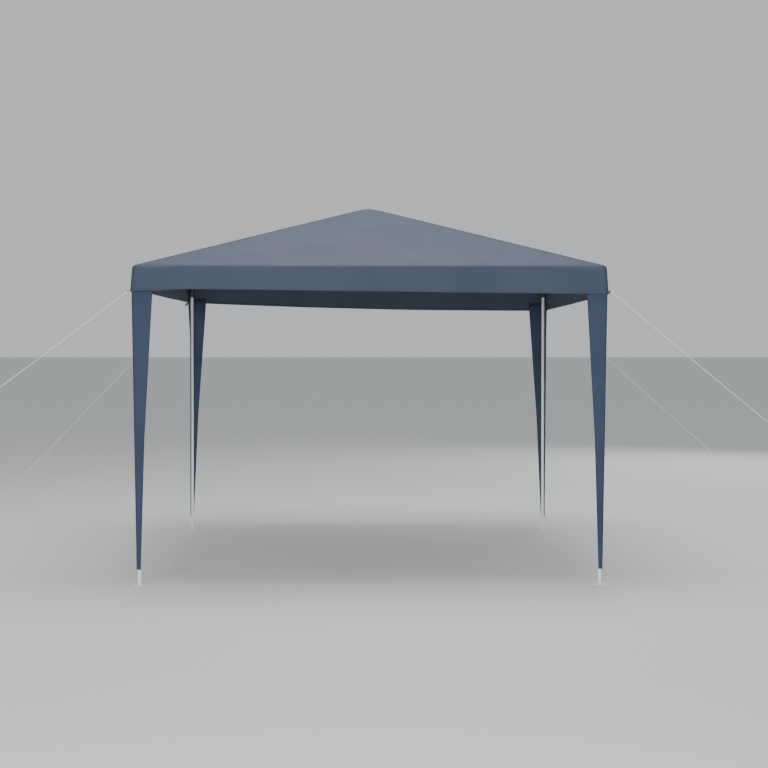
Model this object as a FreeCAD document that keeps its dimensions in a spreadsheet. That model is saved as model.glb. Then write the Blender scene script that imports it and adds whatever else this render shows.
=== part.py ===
"""Garden party tent: a square cloth roof on a push-together frame of steel tubes, with four guy ropes.

Millimetres, +Z up, +Y towards the back. The origin is on the ground, under the middle of the roof.
The tent has the same shape on all four sides, so each piece is modelled for the front side or for the
front left corner, and is turned about the upright centre line to its own place.
"""
import FreeCAD, Part
import math
import os
import Sketcher

Vector = FreeCAD.Vector
Rotation = FreeCAD.Rotation
Placement = FreeCAD.Placement

DRIVING_SIZES = (
    ("roof_half", 1500, "middle of the tent to the roof's lower edge"),
    ("eave_height", 2040, "ground to the roof's lower edge"),
    ("peak_height", 2550, "ground to the top of the cloth"),
    ("cloth_thick", 2, "roof, valance and leg cover cloth, with its hems"),
    ("cloth_gap", 0.3, "room between two pieces that lie close"),
    ("valance_height", 170, "drop of the valance below the roof's edge"),
    ("valance_flare", 20, "how far the valance's lower edge stands out"),
    ("tube_radius", 12.5, "outside of every steel tube"),
    ("tube_wall", 0.7, "steel tube wall"),
    ("tube_inset", 26, "roof's edge to the middle of the tubes below it"),
    ("eave_drop", 16, "roof's edge down to the middle of the eave tubes"),
    ("swage_length", 60, "narrowed tube end that slides into the next tube"),
    ("swage_taper", 8, "length over which a tube narrows to its swage"),
    ("slip_gap", 0.1, "radial play of a tube in a socket or in a tube"),
    ("socket_wall", 3, "wall of a moulded socket"),
    ("socket_depth", 45, "how far a tube goes into a socket"),
    ("corner_stop", 36, "middle of a corner connector to its tubes' ends"),
    ("corner_hub", 18, "radius of the ball in a corner connector"),
    ("peak_stop", 26, "middle of the peak connector to its tubes' ends"),
    ("peak_hub", 24, "radius of the peak connector's drum"),
    ("drum_below", 20, "peak connector's drum below its middle"),
    ("drum_above", 12, "peak connector's drum above its middle"),
    ("cap_radius", 15, "rounded cap on the peak connector"),
    ("cap_rise", 5, "middle of the cap above the connector's middle"),
    ("leg_joint", 1000, "ground to the joint of a leg's two tubes"),
    ("plate_half", 40, "half the side of a foot plate"),
    ("plate_thick", 3, "foot plate thickness"),
    ("plate_chamfer", 10, "cut-off corners of a foot plate"),
    ("peg_hole", 4.5, "radius of a peg hole in a foot plate"),
    ("peg_reach", 28, "middle of a foot plate to a peg hole"),
    ("cover_top", 1885, "ground to a leg cover's upper hem"),
    ("cover_bottom", 100, "ground to a leg cover's lower hem"),
    ("cover_wide", 131, "each wing of a leg cover, above the bend"),
    ("cover_bend", 940, "height where a leg cover's slanted edge bends"),
    ("cover_middle", 64, "each wing of a leg cover at the bend"),
    ("cover_narrow", 26, "each wing of a leg cover at its lower hem"),
    ("cover_foot", 1490.5, "middle of the tent to a leg cover's outer faces, at the ground"),
    ("cover_lean", 24, "how much further out its outer faces are at its upper hem"),
    ("tie_width", 20, "touch-and-close tie around a leg"),
    ("tie_thick", 1, "tie webbing"),
    ("loop_radius", 12, "webbing loop at a valance corner, outside"),
    ("loop_thick", 1.5, "webbing of a loop"),
    ("loop_width", 16, "width of the webbing of a loop"),
    ("rope_radius", 2, "guy rope"),
    ("knot_radius", 6, "knot in a guy rope"),
    ("runner_thick", 6, "rope runner along the rope"),
    ("runner_half", 8, "half the width of a rope runner"),
    ("runner_hole", 2.8, "radius of the two rope holes in a runner"),
    ("strand_gap", 24, "middle to middle of the two rope strands in a runner"),
    ("runner_back", 190, "runner to the far turn of the rope"),
)

TIE_HEIGHTS = (250, 900, 1600)
CORNER_TURNS = {"front_left": 0, "front_right": 90, "rear_right": 180, "rear_left": 270}
SIDE_TURNS = {"front": 0, "right": 90, "rear": 180, "left": 270}

# Each taut rope: from its knot at the corner loop, out with a slight sag to the far turn, round the
# turn's two corners, and back through the runner to its end knot.
ROPE_ROUTES = {
    "front_left": ((-1551, -1536, 1861), (-1879, -1624, 1596), (-2198, -1709, 1344),
                   (-2517, -1794, 1096), (-2530.9, -1797.7, 1115.2), (-2379.5, -1757.4, 1232.9)),
    "front_right": ((1550, -1535, 1860), (1938, -1639, 1515), (2314, -1740, 1186),
                    (2690, -1841, 863), (2704.8, -1845, 881.5), (2559.1, -1805.8, 1006.6)),
    "rear_left": ((-1549, 1533, 1859), (-2166, 1642, 1223), (-2765, 1748, 615),
                  (-3364, 1853, 16), (-3380.6, 1855.9, 33.1), (-3243, 1831.8, 170.6)),
    "rear_right": ((1550, 1534, 1860), (2277, 1662, 1223), (2982, 1786, 615),
                   (3687, 1910, 16), (3702.2, 1912.7, 34.4), (3554.1, 1886.6, 160.2)),
}


class Size:
    """A length with its value and the spreadsheet expression that it comes from."""

    def __init__(self, value, text):
        self.value = float(value)
        self.text = text

    @staticmethod
    def of(other):
        return other if isinstance(other, Size) else Size(other, repr(other))

    def combine(self, sign, other, value):
        return Size(value, "(%s %s %s)" % (self.text, sign, other.text))

    def __add__(self, other):
        other = Size.of(other)
        return self.combine("+", other, self.value + other.value)

    def __sub__(self, other):
        other = Size.of(other)
        return self.combine("-", other, self.value - other.value)

    def __mul__(self, other):
        other = Size.of(other)
        return self.combine("*", other, self.value * other.value)

    def __truediv__(self, other):
        other = Size.of(other)
        return self.combine("/", other, self.value / other.value)

    def __neg__(self):
        return Size(-self.value, "(0 - %s)" % self.text)

    def root(self):
        return Size(math.sqrt(self.value), "sqrt(%s)" % self.text)


class Sizes:
    """The driving dimensions, read by their names."""

    def __init__(self, document):
        sheet = document.addObject("Spreadsheet::Sheet", "sizes")
        for row, (alias, value, note) in enumerate(DRIVING_SIZES, start=1):
            sheet.set("A%d" % row, note)
            sheet.set("B%d" % row, str(value))
            sheet.setAlias("B%d" % row, alias)
            setattr(self, alias, Size(value, "sizes.%s" % alias))
        document.recompute()


doc = FreeCAD.newDocument("party_tent")
size = Sizes(doc)
ZERO = Size(0, "0")


# --- places worked out from the driving sizes ---------------------------------------------------

CORNER_MIDDLE = Vector(size.tube_inset.value - size.roof_half.value,
                       size.tube_inset.value - size.roof_half.value,
                       size.eave_height.value - size.eave_drop.value)
ROOF_SLOPE = (size.peak_height.value - size.eave_height.value) / size.roof_half.value
PEAK_MIDDLE = Vector(0, 0, CORNER_MIDDLE.z - CORNER_MIDDLE.x * ROOF_SLOPE)
RAFTER_WAY = (PEAK_MIDDLE - CORNER_MIDDLE).normalize()
ALONG_X, ALONG_Y, UP = Vector(1, 0, 0), Vector(0, 1, 0), Vector(0, 0, 1)


def turned(degrees, place=None):
    """A placement turned about the tent's upright centre line."""
    return Placement(Vector(), Rotation(UP, degrees)).multiply(place or Placement())


def aimed(start, way):
    """The placement that puts a piece's own Z axis along a direction."""
    return Placement(start, Rotation(UP, way))


# --- ways of making a body ----------------------------------------------------------------------

def bind(feature, **properties):
    for name, amount in properties.items():
        feature.setExpression(name, amount.text)


def outline(body, role, corners):
    """A closed sketch of straight edges, with every corner held by the spreadsheet."""
    sketch = body.newObject("Sketcher::SketchObject", "outline")
    plane = next(item for item in body.Origin.OriginFeatures if item.Role == role)
    sketch.AttachmentSupport = [(plane, "")]
    sketch.MapMode = "FlatFace"
    points = [Vector(x.value, y.value, 0) for x, y in corners]
    for index, point in enumerate(points):
        sketch.addGeometry(Part.LineSegment(point, points[(index + 1) % len(points)]))
    for index in range(len(points)):
        sketch.addConstraint(Sketcher.Constraint("Coincident", index, 2, (index + 1) % len(points), 1))
    for index, corner in enumerate(corners):
        for kind, amount in zip(("DistanceX", "DistanceY"), corner):
            held = sketch.addConstraint(Sketcher.Constraint(kind, -1, 1, index, 1, amount.value))
            sketch.setExpression("Constraints[%d]" % held, amount.text)
    return sketch


def new_body(label):
    body = doc.addObject("PartDesign::Body", label)
    body.Label = label
    return body


def revolved(label, corners):
    """A body turned about its own Z axis, from its half section."""
    body = new_body(label)
    sketch = outline(body, "XZ_Plane", corners)
    turn = body.newObject("PartDesign::Revolution", "turn")
    turn.Profile = sketch
    turn.ReferenceAxis = (sketch, ["V_Axis"])
    turn.Angle = 360
    return body


def padded(label, role, corners, length, symmetric=False):
    body = new_body(label)
    pad = body.newObject("PartDesign::Pad", "pad")
    pad.Profile = outline(body, role, corners)
    bind(pad, Length=length)
    if symmetric:
        pad.SideType = "Symmetric"
    return body


def cut_across(body, role, corners):
    """Cuts an outline out of a body, right through it to both sides."""
    pocket = body.newObject("PartDesign::Pocket", "trim")
    pocket.Profile = outline(body, role, corners)
    bind(pocket, Length=size.roof_half * 4)
    pocket.SideType = "Symmetric"


def add_primitive(body, kind, place=None, **properties):
    primitive = body.newObject("PartDesign::" + kind, kind.lower())
    bind(primitive, **properties)
    primitive.Placement = place or Placement()


# --- steel frame --------------------------------------------------------------------------------

def tube(label, length, swaged, place):
    """A tube along its own Z axis. A swaged one goes on, narrower, into the next tube."""
    outer, inner = size.tube_radius, size.tube_radius - size.tube_wall
    if swaged:
        shoulder, tip = length - size.swage_taper, length + size.swage_length
        male_outer = inner - size.slip_gap
        male_inner = male_outer - size.tube_wall
        corners = ((inner, ZERO), (outer, ZERO), (outer, shoulder), (male_outer, length), (male_outer, tip),
                   (male_inner, tip), (male_inner, length), (inner, shoulder))
    else:
        corners = ((inner, ZERO), (outer, ZERO), (outer, length), (inner, length))
    body = revolved(label, corners)
    body.Placement = place


def eave_tubes():
    """Two tubes along each side, one sliding into the other at the middle."""
    length = size.roof_half - size.tube_inset - size.corner_stop
    reach = CORNER_MIDDLE + ALONG_X * size.corner_stop.value
    mirrored = Vector(-reach.x, reach.y, reach.z)
    for side, turn in SIDE_TURNS.items():
        tube("eave_tube_%s_socket" % side, length, False, turned(turn, aimed(reach, ALONG_X)))
        tube("eave_tube_%s_swaged" % side, length, True, turned(turn, aimed(mirrored, -ALONG_X)))


def rafters():
    """Two tubes under each hip of the roof, from the corner connector to the peak connector."""
    across = size.roof_half - size.tube_inset
    rise = across * (size.peak_height - size.eave_height) / size.roof_half
    span = (across * across * 2 + rise * rise).root()
    length = (span - size.corner_stop - size.peak_stop) / 2
    low_end = CORNER_MIDDLE + RAFTER_WAY * size.corner_stop.value
    high_end = PEAK_MIDDLE - RAFTER_WAY * size.peak_stop.value
    for corner, turn in CORNER_TURNS.items():
        tube("rafter_lower_" + corner, length, False, turned(turn, aimed(low_end, RAFTER_WAY)))
        tube("rafter_upper_" + corner, length, True, turned(turn, aimed(high_end, -RAFTER_WAY)))


def legs():
    """Two tubes in each leg. The lower one stands on its foot plate."""
    lower = size.leg_joint - size.plate_thick
    upper = size.eave_height - size.eave_drop - size.corner_stop - size.leg_joint
    for corner, turn in CORNER_TURNS.items():
        foot = Vector(CORNER_MIDDLE.x, CORNER_MIDDLE.y, size.plate_thick.value)
        joint = Vector(CORNER_MIDDLE.x, CORNER_MIDDLE.y, size.leg_joint.value)
        tube("leg_lower_" + corner, lower, True, turned(turn, aimed(foot, UP)))
        tube("leg_upper_" + corner, upper, False, turned(turn, aimed(joint, UP)))


def foot_plates():
    """A steel plate with two peg holes and a hollow spigot that goes up into the leg."""
    half, cut = size.plate_half, size.plate_half - size.plate_chamfer
    corners = ((-cut, -half), (cut, -half), (half, -cut), (half, cut),
               (cut, half), (-cut, half), (-half, cut), (-half, -cut))
    spigot = size.tube_radius - size.tube_wall - size.slip_gap
    for corner, turn in CORNER_TURNS.items():
        body = padded("foot_plate_" + corner, "XY_Plane", corners, size.plate_thick)
        above = Placement(Vector(0, 0, size.plate_thick.value), Rotation())
        add_primitive(body, "AdditiveCylinder", above, Radius=spigot, Height=size.swage_length)
        add_primitive(body, "SubtractiveCylinder", above, Radius=spigot - size.tube_wall,
                      Height=size.swage_length)
        for reach in (-size.peg_reach.value, size.peg_reach.value):
            add_primitive(body, "SubtractiveCylinder", Placement(Vector(reach, 0, 0), Rotation()),
                          Radius=size.peg_hole, Height=size.plate_thick)
        body.Placement = turned(turn, Placement(Vector(CORNER_MIDDLE.x, CORNER_MIDDLE.y, 0), Rotation()))


# --- moulded connectors -------------------------------------------------------------------------

def add_sockets(body, ways, stop):
    """Sockets that point away from the body's middle. All the arms come before all the bores."""
    bore = size.tube_radius + size.slip_gap
    for way in ways:
        add_primitive(body, "AdditiveCylinder", aimed(Vector(), way), Radius=bore + size.socket_wall,
                      Height=stop + size.socket_depth)
    for way in ways:
        add_primitive(body, "SubtractiveCylinder", aimed(way * stop.value, way), Radius=bore,
                      Height=size.socket_depth)


def corner_connectors():
    """Four sockets each: two for the eaves, one for the leg and one for the rafter."""
    for corner, turn in CORNER_TURNS.items():
        body = new_body("corner_connector_" + corner)
        add_primitive(body, "AdditiveSphere", Radius=size.corner_hub)
        add_sockets(body, (ALONG_X, ALONG_Y, -UP, RAFTER_WAY), size.corner_stop)
        body.Placement = turned(turn, Placement(CORNER_MIDDLE, Rotation()))


def peak_connector():
    """A drum with a rounded cap and a socket for each rafter."""
    body = new_body("peak_connector")
    add_primitive(body, "AdditiveCylinder", Placement(Vector(0, 0, -size.drum_below.value), Rotation()),
                  Radius=size.peak_hub, Height=size.drum_below + size.drum_above)
    add_primitive(body, "AdditiveSphere", Placement(Vector(0, 0, size.cap_rise.value), Rotation()),
                  Radius=size.cap_radius)
    ways = [turned(turn).Rotation.multVec(-RAFTER_WAY) for turn in CORNER_TURNS.values()]
    add_sockets(body, ways, size.peak_stop)
    body.Placement = Placement(PEAK_MIDDLE, Rotation())


# --- sewn cloth ---------------------------------------------------------------------------------

def trim_to_hips(body):
    """Cuts a full-width piece of the front side along the two upright planes through the hips."""
    far = size.roof_half + size.valance_flare + 100
    for sign in (1, -1):
        side = far * sign
        cut_across(body, "XY_Plane", ((ZERO, ZERO), (side, -far), (side, size.cloth_thick * 50)))


def roof_panels():
    """Four flat triangles of cloth that meet at the hips and the peak."""
    edge, low, high = -size.roof_half, size.eave_height, size.peak_height
    section = ((edge, low - size.cloth_thick), (ZERO, high - size.cloth_thick), (ZERO, high), (edge, low))
    for side, turn in SIDE_TURNS.items():
        body = padded("roof_panel_" + side, "YZ_Plane", section, size.roof_half * 2, symmetric=True)
        trim_to_hips(body)
        body.Placement = turned(turn)


def valances():
    """Four strips that hang from the roof's edge and stand out a little at the bottom."""
    edge, hem = -size.roof_half, -size.roof_half - size.valance_flare
    top = size.eave_height - size.cloth_thick - size.cloth_gap
    bottom = size.eave_height - size.valance_height
    section = ((edge, top), (hem, bottom), (hem + size.cloth_thick, bottom), (edge + size.cloth_thick, top))
    width = (size.roof_half + size.valance_flare) * 2
    for side, turn in SIDE_TURNS.items():
        body = padded("valance_" + side, "YZ_Plane", section, width, symmetric=True)
        trim_to_hips(body)
        body.Placement = turned(turn)


def cover_fold(height):
    """Place of the front left leg cover's outer faces at a height. They lean out towards the top."""
    return -size.cover_foot - size.cover_lean * height / size.cover_top


def leg_covers():
    """An angle of cloth outside each leg, wide under the valance and narrow near the ground."""
    hem = size.eave_height - size.valance_height
    fold = cover_fold(0)
    wide, thick = fold + size.cover_wide, fold + size.cloth_thick
    section = ((fold, fold), (wide, fold), (wide, thick), (thick, thick), (thick, wide), (fold, wide))
    narrow = cover_fold(size.cover_bottom) + size.cover_narrow
    beyond = wide + size.cover_wide
    slanted_off = ((cover_fold(hem) + size.cover_wide, hem),
                   (cover_fold(size.cover_bend) + size.cover_middle, size.cover_bend),
                   (narrow, size.cover_bottom), (narrow, ZERO), (beyond, ZERO), (beyond, hem))
    below_hem = ((fold - size.cover_wide, ZERO - size.cloth_thick), (beyond, ZERO - size.cloth_thick),
                 (beyond, size.cover_bottom), (fold - size.cover_wide, size.cover_bottom))
    for corner, turn in CORNER_TURNS.items():
        body = padded("leg_cover_" + corner, "XY_Plane", section, size.cover_top)
        pad = body.Tip
        pad.UseCustomVector = True
        pad.AlongSketchNormal = True
        pad.Direction = Vector(-size.cover_lean.value, -size.cover_lean.value, size.cover_top.value)
        cut_across(body, "XZ_Plane", below_hem)
        cut_across(body, "XZ_Plane", slanted_off)
        cut_across(body, "YZ_Plane", slanted_off)
        body.Placement = turned(turn)


# --- small trim, one node for each kind ---------------------------------------------------------

def primitive(kind, place, **properties):
    piece = doc.addObject("Part::" + kind, "trim_" + kind.lower())
    bind(piece, **properties)
    piece.Placement = place
    return piece


def boolean(kind, base, tool):
    result = doc.addObject("Part::" + kind, "trim_" + kind.lower())
    result.Base, result.Tool = base, tool
    return result


def group(label, pieces):
    compound = doc.addObject("Part::Compound", label)
    compound.Label = label
    compound.Links = pieces


def leg_ties():
    """Touch-and-close ties, each a band around a leg with a tab to the leg cover's fold."""
    inner = size.tube_radius + size.slip_gap
    outer = inner + size.tie_thick
    pieces = []
    for turn in CORNER_TURNS.values():
        for height in TIE_HEIGHTS:
            tab = size.tube_inset - size.roof_half - cover_fold(height) - size.cloth_thick - size.cloth_gap
            place = turned(turn, Placement(Vector(CORNER_MIDDLE.x, CORNER_MIDDLE.y, height), Rotation()))
            beside = place.multiply(Placement(Vector(-size.tie_thick.value / 2, -tab.value, 0), Rotation()))
            band = primitive("Cylinder", place, Radius=outer, Height=size.tie_width)
            stub = primitive("Box", beside, Length=size.tie_thick, Width=tab, Height=size.tie_width)
            hole = primitive("Cylinder", place, Radius=inner, Height=size.tie_width)
            pieces.append(boolean("Cut", boolean("Fuse", band, stub), hole))
    group("leg_ties", pieces)


def loop_middle():
    """Middle of the front left webbing loop, just outside the valance's lower corner."""
    corner = size.roof_half.value + size.valance_flare.value
    out = (size.loop_radius.value + size.cloth_gap.value) / math.sqrt(2)
    lift = size.eave_height.value - size.valance_height.value + size.loop_width.value / 2
    return Vector(-corner - out, -corner - out, lift)


def corner_loops():
    """A loop of webbing at each lower corner of the valance, which a guy rope is tied to."""
    across = Vector(1, -1, 0).normalize()
    start = loop_middle() - across * (size.loop_width.value / 2)
    pieces = []
    for turn in CORNER_TURNS.values():
        place = turned(turn, aimed(start, across))
        pieces.append(boolean(
            "Cut", primitive("Cylinder", place, Radius=size.loop_radius, Height=size.loop_width),
            primitive("Cylinder", place, Radius=size.loop_radius - size.loop_thick, Height=size.loop_width)))
    group("corner_loops", pieces)


# --- guy ropes ----------------------------------------------------------------------------------

def rounded_path(points):
    """Straight runs joined by tangent arcs, each as large as its two runs allow, and the arcs' radii."""
    edges, radii, start = [], [], points[0]
    for before, corner, after in zip(points, points[1:], points[2:]):
        back, onward = before - corner, after - corner
        reach = 0.45 * min(back.Length, onward.Length)
        half_turn = (math.pi - back.getAngle(onward)) / 2
        radius = reach / math.tan(half_turn)
        arc_start, arc_end = corner + back.normalize() * reach, corner + onward.normalize() * reach
        inwards = (back + onward).normalize()
        arc_middle = corner + inwards * (radius / math.cos(half_turn) - radius)
        edges.append(Part.LineSegment(start, arc_start).toShape())
        edges.append(Part.Arc(arc_start, arc_middle, arc_end).toShape())
        radii.append(radius)
        start = arc_end
    edges.append(Part.LineSegment(start, points[-1]).toShape())
    return Part.Wire(edges), radii


def guy_ropes():
    """Each rope is one tube along its route. Its volume is compared with its section times its length."""
    radius = size.rope_radius.value
    for corner, route in ROPE_ROUTES.items():
        points = [Vector(*point) for point in route]
        path, radii = rounded_path(points)
        section = Part.Wire(Part.Circle(points[0], points[1] - points[0], radius).toShape())
        rope = doc.addObject("Part::Feature", "guy_rope_" + corner)
        rope.Label = "guy_rope_" + corner
        rope.Shape = path.makePipeShell([section], True, False)
        rope.Placement = Placement()
        expected = math.pi * radius ** 2 * path.Length
        assert abs(rope.Shape.Volume / expected - 1) < 0.01, rope.Label
        print("%s: %.0f mm long, arc radii %s mm" % (
            rope.Label, path.Length, ", ".join("%.1f" % value for value in radii)))


def rope_knots():
    """A round knot beyond each end of a rope."""
    clear = size.knot_radius.value + size.cloth_gap.value
    for corner, route in ROPE_ROUTES.items():
        first, second, before, last = (Vector(*route[index]) for index in (0, 1, -2, -1))
        middles = (first + (first - second).normalize() * clear, last + (last - before).normalize() * clear)
        group("rope_knots_" + corner, [
            primitive("Sphere", Placement(middle, Rotation()), Radius=size.knot_radius) for middle in middles])


def rope_runners():
    """A rounded plate with a hole for each of the rope's two strands, across the rope."""
    for corner, route in ROPE_ROUTES.items():
        sag, turn, turn_back = (Vector(*route[index]) for index in (2, 3, 4))
        way = (turn - sag).normalize()
        middle = turn - way * size.runner_back.value
        body = new_body("rope_runner_" + corner)
        other = Placement(Vector(size.strand_gap.value, 0, 0), Rotation())
        slab = Placement(Vector(0, -size.runner_half.value, 0), Rotation())
        add_primitive(body, "AdditiveBox", slab, Length=size.strand_gap, Width=size.runner_half * 2,
                      Height=size.runner_thick)
        for place in (Placement(), other):
            add_primitive(body, "AdditiveCylinder", place, Radius=size.runner_half, Height=size.runner_thick)
        for place in (Placement(), other):
            add_primitive(body, "SubtractiveCylinder", place, Radius=size.runner_hole,
                          Height=size.runner_thick)
        body.Placement = Placement(middle, Rotation(turn_back - turn, Vector(), way, "ZXY"))
        print("%s: at (%.1f, %.1f, %.1f) mm, slides along (%.4f, %.4f, %.4f)" % (
            (body.Label,) + tuple(middle) + tuple(way)))


# --- the whole tent -----------------------------------------------------------------------------

def is_sub_part(item):
    """Bodies, ropes and groups of trim. The pieces that a group holds aren't sub-parts."""
    return item.TypeId in ("PartDesign::Body", "Part::Compound", "Part::Feature")


def export_parts():
    """Checks every object and then writes each sub-part to its own file."""
    doc.recompute()
    for item in doc.Objects:
        if "Invalid" in item.State or "Error" in item.State:
            raise RuntimeError("%s failed: %s" % (item.Label, item.State))
    sub_parts = [item for item in doc.Objects if is_sub_part(item)]
    for item in sub_parts:
        if item.Shape.isNull() or not item.Shape.isValid():
            raise RuntimeError("%s has no valid shape" % item.Label)
    os.makedirs("parts", exist_ok=True)
    for item in sub_parts:
        item.Shape.exportStep("parts/%s.step" % item.Label)
    print("%d sub-parts written" % len(sub_parts))


eave_tubes()
rafters()
legs()
foot_plates()
corner_connectors()
peak_connector()
roof_panels()
valances()
leg_covers()
leg_ties()
corner_loops()
guy_ropes()
rope_knots()
rope_runners()
export_parts()
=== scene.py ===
"""Looks of a garden party tent: coated cloth stretched over a white steel frame, with taut guy ropes.

Everything is in metres in the frame's own axes: +Z up, +Y towards the back, the origin on the ground
under the middle of the roof. The tent is the same on all four sides, so each piece is shaped for the
front side or for the front left corner and is then turned about the upright centre line.
"""

import logging
import math
from collections.abc import Callable, Iterable, Sequence
from dataclasses import dataclass, field
from enum import Enum

import bpy
from bpy.types import Material, Mesh, NodeTree, Object
from mathutils import Matrix, Vector, noise


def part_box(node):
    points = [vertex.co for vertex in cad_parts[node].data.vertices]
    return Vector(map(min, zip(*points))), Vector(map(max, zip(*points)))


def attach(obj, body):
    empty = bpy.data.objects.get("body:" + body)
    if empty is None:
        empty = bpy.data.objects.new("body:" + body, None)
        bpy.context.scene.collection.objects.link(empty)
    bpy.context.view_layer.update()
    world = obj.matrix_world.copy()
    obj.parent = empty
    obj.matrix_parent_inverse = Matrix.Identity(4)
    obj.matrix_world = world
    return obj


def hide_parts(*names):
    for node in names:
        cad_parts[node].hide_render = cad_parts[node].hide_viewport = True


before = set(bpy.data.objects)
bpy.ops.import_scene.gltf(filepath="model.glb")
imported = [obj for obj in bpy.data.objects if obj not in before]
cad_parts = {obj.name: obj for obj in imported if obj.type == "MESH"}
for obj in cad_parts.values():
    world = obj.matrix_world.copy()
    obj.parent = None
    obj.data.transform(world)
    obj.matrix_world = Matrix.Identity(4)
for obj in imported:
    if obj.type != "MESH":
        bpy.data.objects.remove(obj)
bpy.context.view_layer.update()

logging.basicConfig(level=logging.INFO, format="%(message)s")
log = logging.getLogger("tent")

MM = 0.001
BODY = "tent"


class Quarter(Enum):
    """A quarter turn of the tent, with the side and the corner that it brings to the front left."""

    FRONT = ("front", "front_left", 0)
    RIGHT = ("right", "front_right", 90)
    REAR = ("rear", "rear_right", 180)
    LEFT = ("left", "rear_left", 270)

    def __init__(self, side: str, corner: str, degrees: int) -> None:
        """Names the side and the corner, and keeps the turn."""
        self.side = side
        self.corner = corner
        self.turn = Matrix.Rotation(math.radians(degrees), 4, "Z")


# --- small tools --------------------------------------------------------------------------------


def linear(colour: str) -> tuple[float, float, float, float]:
    """Turns an sRGB hex colour such as "5a6475" into linear red, green, blue and alpha.

    Args:
        colour: Six hex digits.

    Returns:
        The linear colour, with alpha 1.
    """
    parts = [int(colour[at:at + 2], 16) / 255 for at in (0, 2, 4)]
    red, green, blue = (p / 12.92 if p <= 0.04045 else ((p + 0.055) / 1.055) ** 2.4 for p in parts)
    return red, green, blue, 1.0


def add_node(tree: NodeTree, kind: str, links: dict | None = None, **settings: object) -> bpy.types.Node:
    """Adds a shader node, sets its properties and input values, and links its inputs.

    Args:
        tree: The material's node tree.
        kind: The node's type without the ShaderNode prefix.
        links: Input name or number to a value or to another node's output socket.
        **settings: Properties of the node itself.

    Returns:
        The new node.
    """
    node = tree.nodes.new("ShaderNode" + kind)
    for name, value in settings.items():
        setattr(node, name, value)
    for key, value in (links or {}).items():
        if isinstance(value, bpy.types.NodeSocket):
            tree.links.new(value, node.inputs[key])
        else:
            node.inputs[key].default_value = value
    return node


def smooth_step(value: float, low: float, high: float) -> float:
    """Runs smoothly from 0 at low to 1 at high."""
    share = min(1.0, max(0.0, (value - low) / (high - low)))
    return share * share * (3 - 2 * share)


def deselect() -> None:
    """Leaves nothing selected, so that an operator acts only on what comes next."""
    if bpy.context.object and bpy.context.object.mode != "OBJECT":
        bpy.ops.object.mode_set(mode="OBJECT")
    bpy.ops.object.select_all(action="DESELECT")


def apply_modifiers(piece: Object) -> None:
    """Applies every modifier of a piece, in order."""
    deselect()
    bpy.context.view_layer.objects.active = piece
    piece.select_set(True)
    for modifier in list(piece.modifiers):
        bpy.ops.object.modifier_apply(modifier=modifier.name)


def joined(name: str, parts: Sequence[Object]) -> Object:
    """Makes one piece of several.

    Args:
        name: The piece's name.
        parts: The objects to join. The first one stays.

    Returns:
        The joined piece.
    """
    deselect()
    for part in parts:
        part.select_set(True)
    bpy.context.view_layer.objects.active = parts[0]
    if len(parts) > 1:
        bpy.ops.object.join()
    parts[0].name = name
    return parts[0]


def dress(piece: Object, finish: "Finish", body: str = BODY, replaces: Iterable[str] = ()) -> None:
    """Gives a piece its material, its body and the nodes that it stands for.

    Args:
        piece: A finished mesh at the origin.
        finish: What it is made of.
        body: The body that it moves with.
        replaces: Nodes of the frame that it takes the place of.
    """
    piece.data.materials.clear()
    piece.data.materials.append(finish.material())
    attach(piece, body)
    if replaces:
        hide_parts(*replaces)
    log.info("%s: %d faces, %s", piece.name, len(piece.data.polygons), finish.name)


def formed_grid(name: str, columns: int, rows: int, place: Callable[[int, int], Vector],
                maps: dict[str, Callable[[int, int], tuple[float, float]]], capped: bool = False) -> Object:
    """Makes a skin from a flat grid whose points are moved to their places, and merges edges that meet.

    Args:
        name: The piece's name.
        columns: Faces across the grid.
        rows: Faces along the grid.
        place: Column and row of a point to its place.
        maps: For each flat map, its name and the column and row of a point to its place in metres.
        capped: Whether the skin is a tube whose two ends are closed.

    Returns:
        The piece, with smooth faces that point outwards.
    """
    deselect()
    bpy.ops.mesh.primitive_grid_add(x_subdivisions=columns, y_subdivisions=rows, size=1)
    piece = bpy.context.object
    piece.name = name
    mesh = piece.data
    spots = [(index % (columns + 1), index // (columns + 1)) for index in range(len(mesh.vertices))]
    for vertex, spot in zip(mesh.vertices, spots):
        vertex.co = place(*spot)
    for map_name, where in maps.items():
        layer = mesh.uv_layers.new(name=map_name)
        flat = [where(*spot) for spot in spots]
        for loop in mesh.loops:
            layer.data[loop.index].uv = flat[loop.vertex_index]
    mesh.uv_layers.remove(mesh.uv_layers["UVMap"])
    bpy.ops.object.mode_set(mode="EDIT")
    bpy.ops.mesh.select_all(action="SELECT")
    bpy.ops.mesh.remove_doubles(threshold=0.00001)
    if capped:
        bpy.ops.mesh.fill_holes(sides=columns)
    bpy.ops.mesh.select_all(action="SELECT")
    bpy.ops.mesh.normals_make_consistent(inside=False)
    bpy.ops.object.mode_set(mode="OBJECT")
    bpy.ops.object.shade_smooth_by_angle(angle=math.radians(50))
    return piece


def give_thickness(sheet: Object, doubled: Callable[[Vector], bool], thick: float, thin: float) -> None:
    """Gives a sheet of cloth its thickness, inwards from its outer face.

    Args:
        sheet: The sheet, without thickness.
        doubled: Whether the cloth lies double at a point of the sheet.
        thick: Thickness where the cloth lies double.
        thin: Thickness elsewhere.
    """
    group = sheet.vertex_groups.new(name="double")
    group.add([vertex.index for vertex in sheet.data.vertices if doubled(vertex.co)], 1.0, "REPLACE")
    solid = sheet.modifiers.new("thickness", "SOLIDIFY")
    solid.thickness = thick
    solid.offset = -1
    solid.vertex_group = group.name
    solid.thickness_vertex_group = thin / thick
    apply_modifiers(sheet)


def distances(line: Sequence[Vector]) -> list[float]:
    """Gives each point's distance from the first one, along the line."""
    reach = [0.0]
    for before, after in zip(line, line[1:]):
        reach.append(reach[-1] + (after - before).length)
    return reach


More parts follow.
